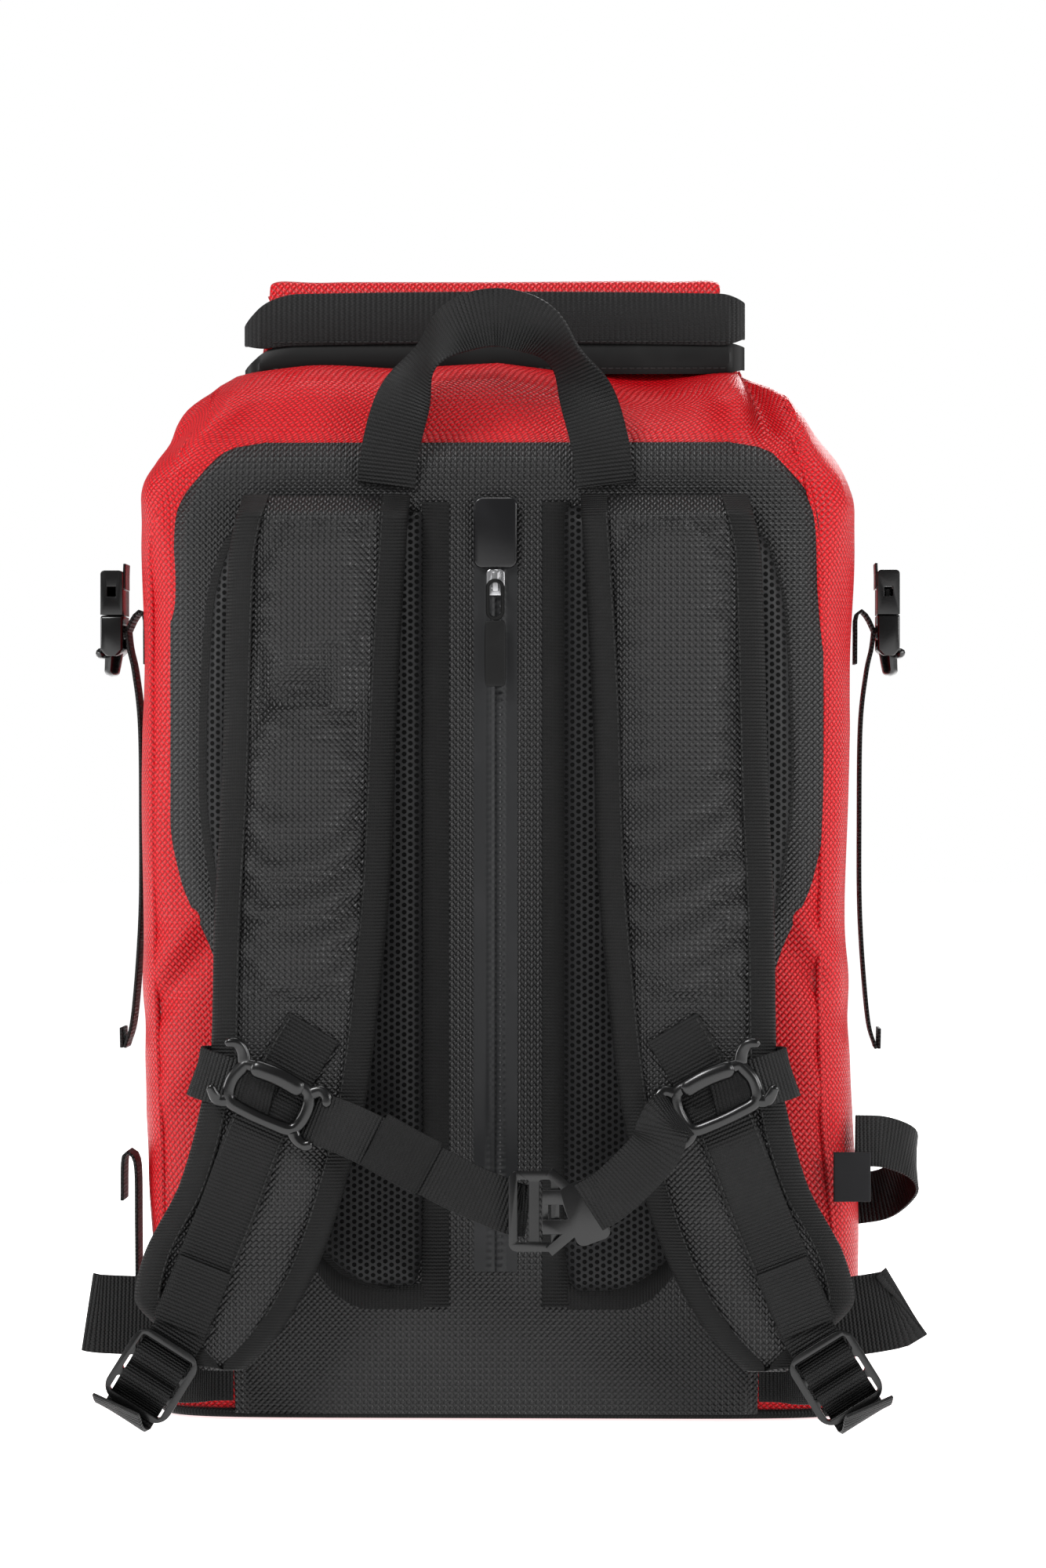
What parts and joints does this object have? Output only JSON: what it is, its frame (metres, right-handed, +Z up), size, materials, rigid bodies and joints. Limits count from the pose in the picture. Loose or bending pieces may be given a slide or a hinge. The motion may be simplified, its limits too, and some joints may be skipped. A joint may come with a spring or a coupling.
{
  "type": "roll-top backpack",
  "caption": "Roll-top backpack with padded shoulder straps, back pads, a centre zip sleeve, chest strap, haul loop and side buckles.",
  "frame": {"origin": "centre of the foot of the overall box", "axes": "+Z up, -Y towards the harness and the wearer, +X to the right when facing the harness"},
  "size_m": [0.4032, 0.2596, 0.548],
  "materials": {
    "red_cloth": "coarse coated weave, slight sheen",
    "ballistic_cloth": "ballistic basket weave",
    "spacer_mesh": "open spacer mesh",
    "webbing": "ribbed webbing",
    "foam": "closed cell foam",
    "coated_zip": "matte coated zip tape",
    "moulded_plastic": "satin moulded",
    "sheet_plastic": "smooth sheet",
    "lining": "plain lining cloth",
    "slider_metal": "plated",
    "label_cloth": "woven label"
  },
  "bodies": {
    "pack": {"rear_panel": "red_cloth", "rear_yoke": "red_cloth", "front_panel": "red_cloth", "front_yoke": "red_cloth", "base_panel": "red_cloth", "side_panel_left": "red_cloth", "side_panel_right": "red_cloth", "collar": "red_cloth", "back_panel": "ballistic_cloth", "pad_foam_left": "foam", "pad_foam_right": "foam", "pad_mesh_left": "spacer_mesh", "pad_mesh_right": "spacer_mesh", "pad_tape_left": "webbing", "pad_tape_right": "webbing", "zip_tape_left": "coated_zip", "zip_tape_right": "coated_zip", "zip_garage": "coated_zip", "sleeve_wall": "lining", "frame_sheet": "sheet_plastic", "side_label": "label_cloth", "side_strap_left": "webbing", "side_strap_right": "webbing", "buckle_anchor_left": "webbing", "buckle_anchor_right": "webbing", "strap_anchor_left": "webbing", "strap_anchor_right": "webbing"},
    "mouth": {"mouth_flap": "red_cloth", "mouth_stiffener": "sheet_plastic", "mouth_band": "webbing"},
    "haul_handle": {"haul_loop": "webbing"},
    "zip_slider": {"zip_slider": "slider_metal"},
    "zip_pull": {"pull_loop": "webbing", "pull_tab": "webbing"},
    "strap_left": {"shoulder_pad_left": "ballistic_cloth", "strap_web_left": "webbing"},
    "ladder_lock_left": {"ladder_lock_left": "moulded_plastic", "lower_web_left": "webbing"},
    "hip_web_left": {"hip_web_left": "webbing"},
    "side_buckle_left": {"side_adjuster_left": "moulded_plastic", "adjuster_tail_left": "webbing"},
    "side_socket_left": {"side_socket_left": "moulded_plastic"},
    "strap_right": {"shoulder_pad_right": "ballistic_cloth", "strap_web_right": "webbing"},
    "ladder_lock_right": {"ladder_lock_right": "moulded_plastic", "lower_web_right": "webbing"},
    "hip_web_right": {"hip_web_right": "webbing"},
    "side_buckle_right": {"side_adjuster_right": "moulded_plastic", "adjuster_tail_right": "webbing"},
    "side_socket_right": {"side_socket_right": "moulded_plastic"},
    "chest_left": {"chest_slider_left": "moulded_plastic", "chest_web_left": "webbing", "chest_keeper": "webbing", "chest_buckle_frame": "moulded_plastic"},
    "chest_right": {"chest_slider_right": "moulded_plastic"},
    "chest_hook": {"chest_web_right": "webbing", "chest_hook": "moulded_plastic"}
  },
  "joints": [
    {"name": "roll_top_fold", "type": "hinge", "parent": "pack", "child": "mouth", "pos_m": [-0.00415, 0.00458, 0.5482], "axis": [-1, 0, 0], "range_deg": [0, 175]},
    {"name": "haul_loop_swing", "type": "hinge", "parent": "pack", "child": "haul_handle", "pos_m": [-0.00415, -0.06292, 0.452], "axis": [1, 0, 0], "range_deg": [0, 75]},
    {"name": "zip_slide", "type": "slide", "parent": "pack", "child": "zip_slider", "axis": [0, 0, -1], "range_m": [0, 0.31]},
    {"name": "zip_pull_swing", "type": "hinge", "parent": "zip_slider", "child": "zip_pull", "pos_m": [-0.00415, -0.07012, 0.4066], "axis": [-1, 0, 0], "range_deg": [0, 60]},
    {"name": "strap_left_swing", "type": "hinge", "parent": "pack", "child": "strap_left", "pos_m": [-0.00415, -0.06212, 0.447], "axis": [-1, 0, 0], "range_deg": [0, 15]},
    {"name": "strap_right_swing", "type": "hinge", "parent": "pack", "child": "strap_right", "pos_m": [-0.00415, -0.06212, 0.447], "axis": [-1, 0, 0], "range_deg": [0, 15]},
    {"name": "chest_left_slide", "type": "slide", "parent": "strap_left", "child": "chest_left", "axis": [0, 0.1483, 0.9889], "range_m": [0, 0.045]},
    {"name": "chest_right_slide", "type": "slide", "parent": "strap_right", "child": "chest_right", "axis": [0, 0.1483, 0.9889], "range_m": [0, 0.045]},
    {"name": "chest_hook_swing", "type": "hinge", "parent": "chest_right", "child": "chest_hook", "pos_m": [0.09085, -0.12818, 0.153], "axis": [-0.6, 0, 0.8], "range_deg": [0, 80]},
    {"name": "ladder_lock_left_tilt", "type": "hinge", "parent": "strap_left", "child": "ladder_lock_left", "pos_m": [-0.15708, -0.10062, 0.04161], "axis": [-0.848, 0, 0.5299], "range_deg": [0, 25]},
    {"name": "hip_web_left_swing", "type": "hinge", "parent": "pack", "child": "hip_web_left", "pos_m": [-0.13415, -0.06142, 0.05], "axis": [0, 0, 1], "range_deg": [0, 8]},
    {"name": "side_buckle_left_swing", "type": "hinge", "parent": "pack", "child": "side_buckle_left", "pos_m": [-0.19065, 0.01078, 0.391], "axis": [0, 1, 0], "range_deg": [0, 15]},
    {"name": "side_socket_left_release", "type": "slide", "parent": "side_buckle_left", "child": "side_socket_left", "axis": [0, 0, 1], "range_m": [0, 0.018]},
    {"name": "ladder_lock_right_tilt", "type": "hinge", "parent": "strap_right", "child": "ladder_lock_right", "pos_m": [0.14878, -0.10062, 0.04161], "axis": [-0.848, 0, -0.5299], "range_deg": [0, 25]},
    {"name": "hip_web_right_swing", "type": "hinge", "parent": "pack", "child": "hip_web_right", "pos_m": [0.12585, -0.06142, 0.05], "axis": [0, 0, -1], "range_deg": [0, 8]},
    {"name": "side_buckle_right_swing", "type": "hinge", "parent": "pack", "child": "side_buckle_right", "pos_m": [0.18235, 0.01078, 0.391], "axis": [0, -1, 0], "range_deg": [0, 15]},
    {"name": "side_socket_right_release", "type": "slide", "parent": "side_buckle_right", "child": "side_socket_right", "axis": [0, 0, 1], "range_m": [0, 0.018]}
  ],
  "couplings": [
    {"joint": "strap_right_swing", "follows": "strap_left_swing", "ratio": 1},
    {"joint": "chest_right_slide", "follows": "chest_left_slide", "ratio": 1}
  ]
}
